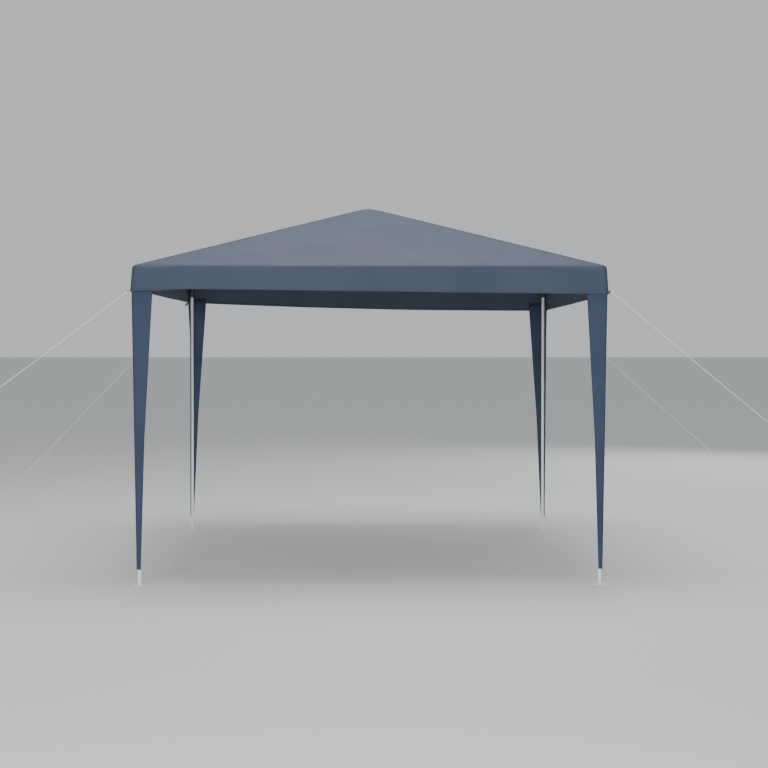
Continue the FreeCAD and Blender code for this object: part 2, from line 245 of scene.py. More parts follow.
def strap_along(name: str, line: Sequence[Vector], across: Vector, width: float, thick: float) -> Object:
    """Makes a flat strap of webbing along a line.

    Args:
        name: The piece's name.
        line: Points of the strap's middle line, all in one plane.
        across: The way that the strap is wide, square to that plane.
        width: The strap's width.
        thick: The strap's thickness.

    Returns:
        A closed strap with rounded edges.
    """
    flat, edge = width / 2 - thick / 2, width / 2
    section = ((thick / 2, flat), (0.0, edge), (-thick / 2, flat), (-thick / 2, -flat), (0.0, -edge),
               (thick / 2, -flat), (thick / 2, flat))
    reach = distances(line)

    def place(column: int, row: int) -> Vector:
        """Gives the place of a point on the strap's skin."""
        ahead = line[min(row + 1, len(line) - 1)] - line[max(row - 1, 0)]
        out = across.cross(ahead).normalized()
        return line[row] + out * section[column][0] + across * section[column][1]

    return formed_grid(name, len(section) - 1, len(line) - 1, place,
                       {"Weave": lambda column, row: (reach[row], section[column][1])}, capped=True)


# --- finishes -----------------------------------------------------------------------------------


@dataclass(frozen=True)
class Finish:
    """What a piece is made of: its name, and the name of a slot."""

    name: str
    slot: str

    def material(self) -> Material:
        """Gives the material, made once and then shared."""
        made = bpy.data.materials.get(self.name)
        if made is None:
            made = bpy.data.materials.new(self.name)
            made.use_nodes = True
            tree = made.node_tree
            tree.nodes.clear()
            surface = add_node(tree, "BsdfPrincipled")
            add_node(tree, "OutputMaterial", {"Surface": surface.outputs[0]})
            self.fill(tree, surface)
        return made

    def fill(self, tree: NodeTree, surface: bpy.types.Node) -> None:
        """Sets up the shader. Each finish has its own way."""
        raise NotImplementedError


@dataclass(frozen=True)
class CoatedPolyester(Finish):
    """Woven polyester with a thin polyurethane coat: dull, with painted shade in the weave's hollows.

    The threads are 0.4 mm apart on the real cloth. They are drawn 1.6 mm apart, as a finer weave
    would not show. Rows of pale thread run beside the hems and the seams.
    """

    face: str = "3d4759"
    shade: str = "394355"
    thread: str = "2a313b"
    thread_pitch: float = 1.6 * MM
    stitch_length: float = 3.5 * MM
    stitch_half: float = 0.45 * MM
    hip_rows: tuple[float, ...] = (1.5 * MM, 7 * MM)
    hem_rows: tuple[float, ...] = (2.5 * MM, 13.5 * MM)
    seam_half: float = 9 * MM
    binding: str = "303845"
    mottle_size: float = 0.35

    def fill(self, tree: NodeTree, surface: bpy.types.Node) -> None:
        """Weave, with its painted shade in the hollows, and stitches follow the flat cloth. Soft mottling
        follows the place.
        """
        weave = add_node(tree, "UVMap", uv_map="Weave")
        place = add_node(tree, "TexCoord")

        threads = []
        for axis in ("X", "Y"):
            wave = add_node(tree, "TexWave", {"Vector": weave.outputs[0], "Scale": 0.314 / self.thread_pitch},
                            wave_type="BANDS", bands_direction=axis, wave_profile="SIN")
            threads.append(wave.outputs["Fac"])
        cloth = add_node(tree, "Math", {0: threads[0], 1: threads[1]}, operation="MULTIPLY")

        mottle = add_node(tree, "TexNoise", {"Vector": place.outputs["Object"],
                                             "Scale": 1 / self.mottle_size, "Detail": 5.0})
        blend = add_node(tree, "MapRange", {"Value": mottle.outputs["Fac"], "From Min": 0.3,
                                            "From Max": 0.7, "To Min": 0.0, "To Max": 1.0})
        tone = add_node(tree, "Mix", {"Factor": blend.outputs[0], "A": linear(self.face),
                                      "B": linear(self.shade)}, data_type="RGBA")
        # painted shade: the base colour is darkened in the weave's hollows between the threads, where the bump
        # is low
        weave_shade = add_node(tree, "MapRange", {"Value": cloth.outputs[0], "To Min": 0.82, "To Max": 1.06})
        woven = add_node(tree, "Mix", {"Factor": 1.0, "A": tone.outputs["Result"],
                                       "B": weave_shade.outputs[0]}, data_type="RGBA", blend_type="MULTIPLY")

        on_hips = self.stitches(tree, "Hip", self.hip_rows)
        on_hems = self.stitches(tree, "Hem", self.hem_rows)
        sewn = add_node(tree, "Math", {0: on_hips, 1: on_hems}, operation="MAXIMUM").outputs[0]
        doubled = add_node(tree, "Mix", {"Factor": self.bound(tree), "A": woven.outputs["Result"],
                                         "B": linear(self.binding)}, data_type="RGBA")
        colour = add_node(tree, "Mix", {"Factor": sewn, "A": doubled.outputs["Result"],
                                        "B": linear(self.thread)}, data_type="RGBA")
        tree.links.new(colour.outputs["Result"], surface.inputs["Base Color"])

        rough = add_node(tree, "MapRange", {"Value": mottle.outputs["Fac"], "To Min": 0.62, "To Max": 0.78})
        tree.links.new(rough.outputs[0], surface.inputs["Roughness"])
        surface.inputs["Specular IOR Level"].default_value = 0.28
        surface.inputs["Sheen Weight"].default_value = 0.05
        surface.inputs["Sheen Roughness"].default_value = 0.5

        creases = add_node(tree, "TexNoise", {"Vector": place.outputs["Object"], "Scale": 9.0, "Detail": 3.0,
                                              "Distortion": 0.6})
        soft = add_node(tree, "Bump", {"Height": creases.outputs["Fac"], "Strength": 0.12,
                                       "Distance": 2 * MM})
        fine = add_node(tree, "Bump", {"Height": cloth.outputs[0], "Strength": 0.35, "Distance": 0.25 * MM,
                                       "Normal": soft.outputs[0]})
        proud = add_node(tree, "Bump", {"Height": sewn, "Strength": 0.8, "Distance": 0.4 * MM,
                                        "Normal": fine.outputs[0]})
        tree.links.new(proud.outputs[0], surface.inputs["Normal"])

    def bound(self, tree: NodeTree) -> bpy.types.NodeSocket:
        """Marks the felled seam along each hip, where the cloth lies fourfold and looks darker."""
        away = add_node(tree, "SeparateXYZ", {0: add_node(tree, "UVMap", uv_map="Hip").outputs[0]})
        return add_node(tree, "MapRange", {"Value": away.outputs["Y"], "From Min": self.seam_half,
                                           "From Max": self.seam_half + 1 * MM, "To Min": 0.6,
                                           "To Max": 0.0}).outputs[0]

    def stitches(self, tree: NodeTree, uv_map: str, rows: Sequence[float]) -> bpy.types.NodeSocket:
        """Makes rows of short stitches beside a sewn edge.

        Args:
            tree: The material's node tree.
            uv_map: The flat map of distances along and away from the edge, in metres.
            rows: The rows' distances from the edge.

        Returns:
            A socket that is 1 on a stitch and 0 elsewhere.
        """
        apart = add_node(tree, "SeparateXYZ", {0: add_node(tree, "UVMap", uv_map=uv_map).outputs[0]})
        row = None
        for away in rows:
            off = add_node(tree, "Math", {0: apart.outputs["Y"], 1: away, 2: self.stitch_half},
                           operation="COMPARE")
            row = off if row is None else add_node(tree, "Math", {0: row.outputs[0], 1: off.outputs[0]},
                                                   operation="MAXIMUM")
        step = add_node(tree, "Math", {0: apart.outputs["X"], 1: 1 / self.stitch_length}, operation="MULTIPLY")
        part = add_node(tree, "Math", {0: step.outputs[0]}, operation="FRACT")
        dash = add_node(tree, "Math", {0: part.outputs[0], 1: 0.72}, operation="LESS_THAN")
        return add_node(tree, "Math", {0: row.outputs[0], 1: dash.outputs[0]}, operation="MULTIPLY").outputs[0]


@dataclass(frozen=True)
class PowderCoatedSteel(Finish):
    """White polyester powder baked on steel tube: satin, with a fine orange peel and dust low down."""

    face: str = "e6e8e6"
    dust: str = "b9b7a8"
    peel_size: float = 1.2 * MM
    dust_height: float = 0.25

    def fill(self, tree: NodeTree, surface: bpy.types.Node) -> None:
        """Dust fades out with height. The orange peel is a fine bump."""
        place = add_node(tree, "TexCoord")
        height = add_node(tree, "SeparateXYZ", {0: place.outputs["Object"]})
        specks = add_node(tree, "TexNoise", {"Vector": place.outputs["Object"], "Scale": 60.0, "Detail": 6.0})
        low = add_node(tree, "MapRange", {"Value": height.outputs["Z"], "From Min": 0.0,
                                          "From Max": self.dust_height, "To Min": 0.75, "To Max": 0.06})
        dusty = add_node(tree, "Math", {0: low.outputs[0], 1: specks.outputs["Fac"]}, operation="MULTIPLY")
        colour = add_node(tree, "Mix", {"Factor": dusty.outputs[0], "A": linear(self.face),
                                        "B": linear(self.dust)}, data_type="RGBA")
        tree.links.new(colour.outputs["Result"], surface.inputs["Base Color"])
        rough = add_node(tree, "MapRange", {"Value": dusty.outputs[0], "To Min": 0.32, "To Max": 0.7})
        tree.links.new(rough.outputs[0], surface.inputs["Roughness"])
        peel = add_node(tree, "TexNoise", {"Vector": place.outputs["Object"], "Scale": 1 / self.peel_size})
        bump = add_node(tree, "Bump", {"Height": peel.outputs["Fac"], "Strength": 0.12,
                                       "Distance": 0.1 * MM})
        tree.links.new(bump.outputs[0], surface.inputs["Normal"])
        surface.inputs["Coat Weight"].default_value = 0.15
        surface.inputs["Coat Roughness"].default_value = 0.25


@dataclass(frozen=True)
class MouldedPolypropylene(Finish):
    """Polypropylene from a spark-eroded mould: dark grey, dull, with a fine even grain."""

    face: str = "35373a"
    worn: str = "4c4f53"
    grain_size: float = 0.8 * MM

    def fill(self, tree: NodeTree, surface: bpy.types.Node) -> None:
        """The grain is a fine bump, and rubbed places are a little paler."""
        place = add_node(tree, "TexCoord")
        grain = add_node(tree, "TexVoronoi", {"Vector": place.outputs["Object"],
                                              "Scale": 1 / self.grain_size})
        rubbed = add_node(tree, "TexNoise", {"Vector": place.outputs["Object"], "Scale": 45.0, "Detail": 5.0})
        share = add_node(tree, "MapRange", {"Value": rubbed.outputs["Fac"], "From Min": 0.45,
                                            "From Max": 0.75})
        colour = add_node(tree, "Mix", {"Factor": share.outputs[0], "A": linear(self.face),
                                        "B": linear(self.worn)}, data_type="RGBA")
        tree.links.new(colour.outputs["Result"], surface.inputs["Base Color"])
        rough = add_node(tree, "MapRange", {"Value": rubbed.outputs["Fac"], "To Min": 0.42, "To Max": 0.62})
        tree.links.new(rough.outputs[0], surface.inputs["Roughness"])
        bump = add_node(tree, "Bump", {"Height": grain.outputs["Distance"], "Strength": 0.2,
                                       "Distance": 0.1 * MM})
        tree.links.new(bump.outputs[0], surface.inputs["Normal"])


@dataclass(frozen=True)
class WovenWebbing(Finish):
    """Polyester webbing: narrow ribs across the strap, with painted highlights on their crests, dull, with a
    soft sheen.
    """

    face: str = "2f3743"
    # painted highlight: the colour of the ribs' raised crests, lighter than the strap's face
    rib_highlight: str = "3d4654"
    rib_pitch: float = 1.5 * MM

    def fill(self, tree: NodeTree, surface: bpy.types.Node) -> None:
        """The ribs run across the strap, by its own flat map. Their crests are painted lighter, as a painted
        highlight.
        """
        weave = add_node(tree, "UVMap", uv_map="Weave")
        ribs = add_node(tree, "TexWave", {"Vector": weave.outputs[0], "Scale": 0.314 / self.rib_pitch},
                        wave_type="BANDS", bands_direction="X", wave_profile="SIN")
        warp = add_node(tree, "TexWave", {"Vector": weave.outputs[0], "Scale": 0.157 / self.rib_pitch},
                        wave_type="BANDS", bands_direction="Y", wave_profile="TRI")
        both = add_node(tree, "Math", {0: ribs.outputs["Fac"], 1: warp.outputs["Fac"]}, operation="MULTIPLY")
        # painted highlight: where the ribs stand proud, the colour is mixed towards the lighter crest colour
        colour = add_node(tree, "Mix", {"Factor": both.outputs[0], "A": linear(self.face),
                                        "B": linear(self.rib_highlight)}, data_type="RGBA")
        tree.links.new(colour.outputs["Result"], surface.inputs["Base Color"])
        surface.inputs["Roughness"].default_value = 0.8
        surface.inputs["Sheen Weight"].default_value = 0.2
        bump = add_node(tree, "Bump", {"Height": both.outputs[0], "Strength": 0.7, "Distance": 0.3 * MM})
        tree.links.new(bump.outputs[0], surface.inputs["Normal"])


@dataclass(frozen=True)
class BraidedPolyester(Finish):
    """Off-white braided polyester cord: dull, with grey dust between the strands."""

    face: str = "e9e6d8"
    dust: str = "a8a493"

    def fill(self, tree: NodeTree, surface: bpy.types.Node) -> None:
        """The strands are in the mesh. The colour is a soft dusty mottling."""
        place = add_node(tree, "TexCoord")
        dirt = add_node(tree, "TexNoise", {"Vector": place.outputs["Object"], "Scale": 220.0, "Detail": 4.0})
        share = add_node(tree, "MapRange", {"Value": dirt.outputs["Fac"], "From Min": 0.4, "From Max": 0.8,
                                            "To Max": 0.7})
        colour = add_node(tree, "Mix", {"Factor": share.outputs[0], "A": linear(self.face),
                                        "B": linear(self.dust)}, data_type="RGBA")
        tree.links.new(colour.outputs["Result"], surface.inputs["Base Color"])
        surface.inputs["Roughness"].default_value = 0.75
        surface.inputs["Sheen Weight"].default_value = 0.25
        fuzz = add_node(tree, "TexNoise", {"Vector": place.outputs["Object"], "Scale": 2500.0})
        bump = add_node(tree, "Bump", {"Height": fuzz.outputs["Fac"], "Strength": 0.4, "Distance": 0.2 * MM})
        tree.links.new(bump.outputs[0], surface.inputs["Normal"])


ROOF_CLOTH = CoatedPolyester("coated polyester, roof", "canopy_cloth")
COVER_CLOTH = CoatedPolyester("coated polyester, leg covers", "leg_cover_cloth", face="344159",
                             shade="2f3b51", hem_rows=(6 * MM,))
WHITE_TUBE = PowderCoatedSteel("powder-coated steel, tube", "coated_tube")
WHITE_PLATE = PowderCoatedSteel("powder-coated steel, plate", "coated_plate", dust_height=0.08)
CONNECTOR = MouldedPolypropylene("moulded polypropylene, connector", "moulded_connector")
RUNNER = MouldedPolypropylene("moulded polypropylene, runner", "moulded_runner", face="2b2d30")
WEBBING = WovenWebbing("polyester webbing, slate", "webbing")
# the white ties' lighter rib colour is a painted highlight on the crests as well
TIE_WEBBING = WovenWebbing("polyester webbing, white", "webbing", face="d4d6d4", rib_highlight="e9ebe9")
CORD = BraidedPolyester("braided polyester cord", "rope")


# --- camera, light and floor --------------------------------------------------------------------


@dataclass
class Studio:
    """The camera, a plain pale floor and soft light."""

    eye: tuple[float, float, float] = (-0.061, -10.807, 1.50)
    yaw: float = -0.92
    pitch: float = -1.32
    lens: float = 68.5
    floor_half: float = 300.0
    floor_colour: str = "cfd0ce"
    sky_colour: str = "f0f4f8"
    sky_strength: float = 0.66

    def camera(self) -> None:
        """Stands the camera in front of the tent, at a person's eye height."""
        data = bpy.data.cameras.new("camera")
        data.lens = self.lens
        data.sensor_width = 36
        data.clip_end = 500
        camera = bpy.data.objects.new("camera", data)
        camera.location = self.eye
        camera.rotation_euler = (math.radians(90 + self.pitch), 0, math.radians(self.yaw))
        bpy.context.scene.collection.objects.link(camera)
        bpy.context.scene.camera = camera

    def floor(self) -> None:
        """Lays a pale floor that runs to the horizon."""
        deselect()
        bpy.ops.mesh.primitive_plane_add(size=2 * self.floor_half, location=(0, 0, 0))
        floor = bpy.context.object
        floor.name = "floor"
        material = bpy.data.materials.new("pale floor")
        material.use_nodes = True
        surface = material.node_tree.nodes["Principled BSDF"]
        surface.inputs["Base Color"].default_value = linear(self.floor_colour)
        surface.inputs["Roughness"].default_value = 0.9
        floor.data.materials.append(material)

    def light(self) -> None:
        """Lights the tent from above with a big soft panel, and softly from the front and behind."""
        world = bpy.data.worlds.new("studio")
        world.use_nodes = True
        sky = world.node_tree.nodes["Background"]
        sky.inputs["Color"].default_value = linear(self.sky_colour)
        sky.inputs["Strength"].default_value = self.sky_strength
        bpy.context.scene.world = world
        for name, place, size, power in (
            ("top_panel", (0.0, -0.5, 6.0), 4.0, 275.0),
            ("front_panel", (-4.5, -13.0, 5.0), 3.0, 440.0),
            ("low_panel", (0.0, -10.5, 1.3), 2.4, 470.0),
            ("rear_panel", (6.0, 9.0, 5.0), 5.0, 340.0),
        ):
            data = bpy.data.lights.new(name, "AREA")
            data.size = size
            data.energy = power
            lamp = bpy.data.objects.new(name, data)
            lamp.location = place
            lamp.rotation_euler = (Vector((0, 0, 1)) - Vector(place)).to_track_quat("-Z", "Y").to_euler()
            bpy.context.scene.collection.objects.link(lamp)


# --- guy ropes ----------------------------------------------------------------------------------

EYE_REACH = 26 * MM  # from the start of a rope's straight run back to the far side of its eye


@dataclass
class GuyRopes:
    """Four taut ropes of braided cord, each with its knots."""

    radius: float = 2 * MM
    sides: int = 12
    ring_gap: float = 1.5 * MM
    strand_depth: float = 0.2
    knot_reach: float = 6 * MM
    eye_half: float = 9.5 * MM
    eye_wide: float = 10.5 * MM
    routes: dict[str, tuple[tuple[float, float, float], ...]] = field(default_factory=lambda: {
        "front_left": ((-1.551, -1.536, 1.861), (-1.879, -1.624, 1.596), (-2.198, -1.709, 1.344),
                       (-2.4985, -1.7891, 1.1104), (-2.517, -1.794, 1.096), (-2.5309, -1.7977, 1.1152),
                       (-2.5124, -1.7928, 1.1296), (-2.3795, -1.7574, 1.2329)),
        "front_right": ((1.550, -1.535, 1.860), (1.938, -1.639, 1.515), (2.314, -1.740, 1.186),
                        (2.6722, -1.8362, 0.8783), (2.690, -1.841, 0.863), (2.7048, -1.845, 0.8815),
                        (2.687, -1.8402, 0.8968), (2.5591, -1.8058, 1.0066)),
        "rear_left": ((-1.549, 1.533, 1.859), (-2.166, 1.642, 1.223), (-2.765, 1.748, 0.615),
                      (-3.3472, 1.850, 0.0328), (-3.364, 1.853, 0.016), (-3.3806, 1.8559, 0.0331),
                      (-3.3638, 1.8529, 0.0499), (-3.243, 1.8318, 0.1706)),
        "rear_right": ((1.550, 1.534, 1.860), (2.277, 1.662, 1.223), (2.982, 1.786, 0.615),
                       (3.6689, 1.9068, 0.0314), (3.687, 1.910, 0.016), (3.7022, 1.9127, 0.0344),
                       (3.6841, 1.9095, 0.0498), (3.5541, 1.8866, 0.1602)),
    })

    def line(self, corner: str) -> list[Vector]:
        """Reads the points of a rope's smooth line.

        Args:
            corner: The corner that the rope leaves.

        Returns:
            Points a few millimetres apart along the rope's own spline.
        """
        route = self.routes[corner]
        curve = bpy.data.curves.new("route", "CURVE")
        curve.dimensions = "3D"
        curve.resolution_u = 96
        spline = curve.splines.new("NURBS")
        spline.points.add(len(route) - 1)
        for point, place in zip(spline.points, route):
            point.co = (*place, 1.0)
        spline.order_u = 3
        spline.use_endpoint_u = True
        holder = bpy.data.objects.new("route", curve)
        bpy.context.scene.collection.objects.link(holder)
        mesh = bpy.data.meshes.new_from_object(holder)
        points = [vertex.co.copy() for vertex in mesh.vertices]
        bpy.data.objects.remove(holder)
        bpy.data.curves.remove(curve)
        bpy.data.meshes.remove(mesh)
        return points

    def build(self) -> None:
        """Makes the ropes and their knots, and logs each rope's length."""
        for corner in self.routes:
            line = self.line(corner)
            rope = cord_along("cord_" + corner, line, self.radius, self.sides, self.ring_gap,
                              self.strand_depth)
            dress(rope, CORD, replaces=["guy_rope_" + corner])
            length = distances(line)[-1]
            knots = self.knots(corner)
            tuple(self.routes[corner][0])
            log.info("%s: %.3f m long", rope.name, length)

    def knots(self, corner: str) -> Object:
        """Ties the rope's eye and knot at the webbing loop, and its stopper knot behind the runner.

        Args:
            corner: The corner that the rope leaves.

        Returns:
            The eye and the two knots, as one piece.
        """
        route = [Vector(point) for point in self.routes[corner]]
        leaving = (route[1] - route[0]).normalized()
        ending = (route[-1] - route[-2]).normalized()
        across = Vector((-route[0].y, route[0].x, 0)).normalized()
        middle = route[0] - leaving * (EYE_REACH - self.eye_half)
        eye = [middle + leaving * math.cos(turn) * self.eye_half + across * math.sin(turn) * self.eye_wide
               for turn in (2 * math.pi * step / 40 for step in range(41))]
        parts = [cord_along("eye", eye, self.radius, self.sides, self.ring_gap, self.strand_depth)]
        for centre, way in ((route[0] - leaving * self.knot_reach, leaving),
                            (route[-1] + ending * self.knot_reach, ending)):
            parts.append(cord_along("knot", overhand(centre, way), self.radius, self.sides, self.ring_gap,
                                    self.strand_depth))
        knots = joined("knots_" + corner, parts)
        dress(knots, CORD, replaces=["rope_knots_" + corner])
        return knots


def overhand(middle: Vector, way: Vector) -> list[Vector]:
    """Gives the line of a pulled-tight overhand knot.

    Args:
        middle: The knot's middle.
        way: The way that the rope runs through it.

    Returns:
        Points round a closed trefoil, which the rope goes into at the middle.
    """
    turn = way.to_track_quat("Z", "Y")
    size, steps = 1.5 * MM, 60
    line = []
    for step in range(steps + 1):
        at = 2 * math.pi * step / steps
        flat = Vector((math.sin(at) + 2 * math.sin(2 * at), math.cos(at) - 2 * math.cos(2 * at),
                       -1.6 * math.sin(3 * at)))
        line.append(middle + turn @ (flat * size))
    return line


def cord_along(name: str, line: Sequence[Vector], radius: float, sides: int, ring_gap: float,
               depth: float) -> Object:
    """Makes a braided cord along a line. Its strands stand proud of the hollows between them.

    Args:
        name: The piece's name.
        line: Points of the cord's centre line.
        radius: The cord's radius at the top of its strands.
        sides: Points round the cord.
        ring_gap: Distance between rings of points.
        depth: Depth of the hollows, as a share of the radius.

    Returns:
        A closed tube.
    """
    stations = resampled(line, ring_gap)
    frames = []
    side = (stations[1] - stations[0]).orthogonal().normalized()
    for index in range(len(stations)):
        ahead = stations[min(index + 1, len(stations) - 1)] - stations[max(index - 1, 0)]
        way = ahead.normalized()
        side = (side - way * side.dot(way)).normalized()
        frames.append((side.copy(), way.cross(side)))

    def place(column: int, row: int) -> Vector:
        """Gives a point of the braid. Two families of strands wind opposite ways."""
        angle = 2 * math.pi * (column % sides) / sides
        over = math.cos(sides / 4 * angle + row * math.pi / 4) * math.cos(sides / 4 * angle - row * math.pi / 4)
        reach = radius * (1 - depth * (0.5 - 0.5 * over))
        first, second = frames[row]
        return stations[row] + (first * math.cos(angle) + second * math.sin(angle)) * reach

    return formed_grid(name, sides, len(stations) - 1, place,
                       {"Weave": lambda column, row: (row * ring_gap, column / sides)}, capped=True)


def resampled(line: Sequence[Vector], gap: float) -> list[Vector]:
    """Spaces points evenly along a line, its two ends among them."""
    reach = distances(line)
    count = max(2, round(reach[-1] / gap))
    even, at = [], 0
    for step in range(count + 1):
        wanted = reach[-1] * step / count
        while at < len(line) - 2 and reach[at + 1] < wanted:
            at += 1
        span = reach[at + 1] - reach[at]
        even.append(line[at].lerp(line[at + 1], (wanted - reach[at]) / span if span else 0.0))
    return even


# --- cloth --------------------------------------------------------------------------------------


@dataclass
class Canopy:
    """The roof and its valances: one sheet, pulled tight over the hips and the eaves."""

    half: float = 1.5
    hem_half: float = 1.52
    # Rise of the hem at the front left, front right, rear right and rear left corners.
    hem_lifts: tuple[float, ...] = (21 * MM, -13 * MM, -36 * MM, 28 * MM)
    rear_belly: float = 18 * MM
    tug: float = 17 * MM
    tug_reach: float = 0.35
    rear_tuck: float = 24 * MM
    hip_radius: float = 10 * MM
    corner_radius: float = 14 * MM
    eave_bend: float = 26 * MM
    shoulder_bend: float = 60 * MM
    shoulder_from: float = 0.32
    shoulder_to: float = 0.08
    corner_bend: float = 26 * MM
    corner_edge: float = 1.509
    tip_radius: float = 25 * MM
    sag: float = 9 * MM
    ripple: float = 4 * MM
    seam_half: float = 9 * MM
    seam_rise: float = 1.0 * MM
    hem_band: float = 16 * MM
    step_wide: float = 1.2 * MM
    seam_starts: tuple[float, float] = (0.02, 0.06)
    eave_rise: float = 2.3 * MM
    shoulder_out: float = 3 * MM
    roof_crowding: float = 1.25
    side_crowding: float = 1.35
    arc_steps: int = 3
    side_steps: int = 40
    roof_steps: int = 30
    bend_steps: int = 7
    drop_steps: int = 10
    thick: float = 1.6 * MM
    thin: float = 0.8 * MM

    def __post_init__(self) -> None:
        """Takes the roof's heights from the frame and works out the sheet's rows and columns."""
        self.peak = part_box("roof_panel_front")[1].z
        self.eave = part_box("valance_front")[1].z + self.eave_rise
        self.hem_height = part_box("valance_front")[0].z
        self.slope = (self.peak - self.eave) / self.half
        self.even_rows = self.profile(self.eave_bend, self.half)
        self.shoulder_rows = self.profile(self.shoulder_bend, self.half + self.shoulder_out)
        self.corner_rows = self.profile(self.corner_bend, self.corner_edge)
        self.columns = self.around()

    def profile(self, bend: float, edge: float) -> list[tuple[float, float, float]]:
        """Works out the rows from the peak to the hem.

        Args:
            bend: Radius of the bend at the eave.
            edge: Where the roof and the valance would meet without the bend, from the tent's middle.

        Returns:
            For each row, its distance from the tent's middle, its height, and its length down the cloth.
        """
        dip = math.atan(self.slope)
        corner = Vector((edge, self.peak - self.slope * edge))
        flare = math.atan((self.hem_half - corner.x) / (corner.y - self.hem_height))
        turn = math.pi / 2 - dip - flare
        reach = bend * math.tan(turn / 2)
        start = corner + Vector((-math.cos(dip), math.sin(dip))) * reach
        middle = start - Vector((math.sin(dip), math.cos(dip))) * bend
        points = []
        for step in range(self.roof_steps + 1):
            away = start.x * (step / self.roof_steps) ** self.roof_crowding
            rounded = math.hypot(away, self.tip_radius * (1 - smooth_step(away, 0, 0.3)))
            points.append(Vector((away, self.peak - self.slope * rounded)))
        for step in range(1, self.bend_steps + 1):
            angle = math.pi / 2 - dip - turn * step / self.bend_steps
            points.append(middle + Vector((math.cos(angle), math.sin(angle))) * bend)
        top, hem = points[-1].copy(), Vector((self.hem_half, self.hem_height))
        drop = (hem - top).length
        band = 1 - self.hem_band / drop
        shares = [band * step / self.drop_steps for step in range(1, self.drop_steps + 1)]
        shares += [band + self.step_wide / drop, (1 + band) / 2, 1.0]
        points += [top.lerp(hem, share) for share in shares]
        return [(point.x, point.y, down) for point, down in zip(points, distances(points))]

    def around(self) -> list[tuple[str, float]]:
        """Works out the columns of one side, from the middle of one corner to the middle of the next.

        Returns:
            For each column, "left" or "right" with its turn from the corner's middle, in radians, where
            it is on a corner's arc, or "side" with its place along the straight stretch, from -1 to 1.
        """
        columns = [("left", math.pi / 4 * step / self.arc_steps) for step in range(self.arc_steps)]
        columns += [("side", -1 + 2 * step / self.side_steps) for step in range(self.side_steps + 1)]
        columns += [("right", math.pi / 4 * (1 - step / self.arc_steps)) for step in range(1, self.arc_steps)]
        return columns

    def at_seam(self, column: int) -> bool:
        """Says whether a column lies on a hip's seam."""
        kind, amount = self.columns[column % len(self.columns)]
        return kind != "side" or (1 - abs(amount)) * self.side_steps < 2.5

    def seam_place(self, share: float, straight: float) -> float:
        """Puts two columns at the edge of a hip's seam, and spreads the rest, closer near the corner.

        Args:
            share: The column's place along the straight stretch, from -1 to 1.
            straight: Half the length of that stretch.

        Returns:
            The distance from the side's middle, negative to the left.
        """
        steps = (1 - abs(share)) * self.side_steps / 2
        room = min(1.0, straight / (4 * self.seam_half))
        if steps <= 2:
            from_corner = self.seam_half * room * min(steps, 1.0) + self.step_wide * room * max(steps - 1, 0.0)
        else:
            past = (self.seam_half + self.step_wide) * room
            even = (steps - 2) / (self.side_steps / 2 - 2)
            from_corner = past + (straight - past) * even ** self.side_crowding
        return math.copysign(straight - from_corner, share)

    def place(self, column: int, row: int) -> Vector:
        """Gives the place of a point of the sheet."""
        around = len(self.columns)
        quarter, column = column // around % 4, column % around
        kind, amount = self.columns[column]
        away, height = self.section(column, row)
        blend = smooth_step(row, self.roof_steps - 6, self.roof_steps + self.bend_steps)
        radius = min(self.hip_radius + (self.corner_radius - self.hip_radius) * blend, away * 0.8)
        straight = away - radius
        if kind == "side":
            x, y = self.seam_place(amount, straight), -away
        else:
            sign = -1 if kind == "left" else 1
            x = sign * (straight + radius * math.cos(math.pi / 4 + amount))
            y = -(straight + radius * math.sin(math.pi / 4 + amount))
        point = Vector((x, y, height))
        if self.at_seam(column):
            out = Vector((0, -self.slope, 1)) if row <= self.roof_steps else Vector((x, y, 0))
            point += out.normalized() * self.seam_rise * smooth_step(away, *self.seam_starts)
        self.hang(point, row, x / max(away, 1e-6), quarter)
        point = list(Quarter)[quarter].turn @ point
        if row > self.roof_steps:
            drop = smooth_step(self.eave - point.z, 0, self.eave - self.hem_height)
            point.z += self.lift(point.x, point.y) * drop
            point.x -= self.rear_tuck * point.x / self.half * smooth_step(point.y, 0, self.half) * drop
        return point

    def lift(self, x: float, y: float) -> float:
        """Gives how far the hem hangs above its even height.

        The cloth has slid a little to the right, so its corners hang unalike. The rear hem sags, and
        the front left corner is tugged down by its rope.

        Args:
            x: The place on the hem, to the right.
            y: The place on the hem, to the back.

        Returns:
            The rise of the hem there, negative where it hangs lower.
        """
        right, back = (min(1.0, max(0.0, (value / self.half + 1) / 2)) for value in (x, y))
        front_left, front_right, rear_right, rear_left = self.hem_lifts
        even = ((front_left * (1 - right) + front_right * right) * (1 - back)
                + (rear_left * (1 - right) + rear_right * right) * back)
        belly = self.rear_belly * 4 * right * (1 - right) * smooth_step(back, 0.9, 1.0)
        near = math.hypot(x + self.half, y + self.half)
        return even - belly - self.tug * (1 - smooth_step(near, 0.0, self.tug_reach))

    def section(self, column: int, row: int) -> tuple[float, float]:
        """Gives a row's distance from the tent's middle and its height, at a column.

        The bend at the eave is tight at mid side, slack beside a corner and tight again on the corner.

        Args:
            column: The point's column, on the front side.
            row: The point's row.

        Returns:
            The distance and the height.
        """
        kind, amount = self.columns[column]
        if kind != "side":
            return self.corner_rows[row][:2]
        away = self.even_rows[row][0]
        from_corner = away - abs(self.seam_place(amount, max(away - self.corner_radius, 0.0)))
        slack = 1 - smooth_step(from_corner, self.shoulder_to, self.shoulder_from)
        tight = 1 - smooth_step(from_corner, self.corner_radius, self.shoulder_to)
        even, shoulder, corner = (Vector(rows[row][:2]) for rows in
                                  (self.even_rows, self.shoulder_rows, self.corner_rows))
        return tuple(even.lerp(shoulder, slack).lerp(corner, tight))

